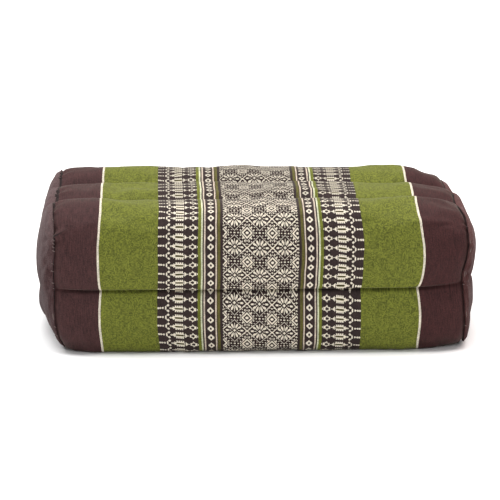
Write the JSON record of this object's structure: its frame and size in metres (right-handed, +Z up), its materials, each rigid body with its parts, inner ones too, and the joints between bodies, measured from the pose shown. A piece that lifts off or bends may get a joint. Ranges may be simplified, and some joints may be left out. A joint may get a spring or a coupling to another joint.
{
  "type": "neck pillow",
  "caption": "Firm rectangular neck pillow of sewn, stuffed channels, with a patterned cloth wrapped round its long sides and a plain panel closing each end.",
  "frame": {"origin": "centre of the pillow's footprint, on the surface that it lies on", "axes": "+X along the pillow, -Y towards its front, +Z up"},
  "size_m": [0.35, 0.18, 0.1154],
  "materials": {
    "wrap_cloth": "woven cotton, brown with green bands and a cream and brown patterned middle",
    "end_cloth": "plain brown cotton"
  },
  "bodies": {
    "root": {"pillow_body": "wrap_cloth", "end_panel_left": "end_cloth", "end_panel_right": "end_cloth"}
  },
  "joints": []
}
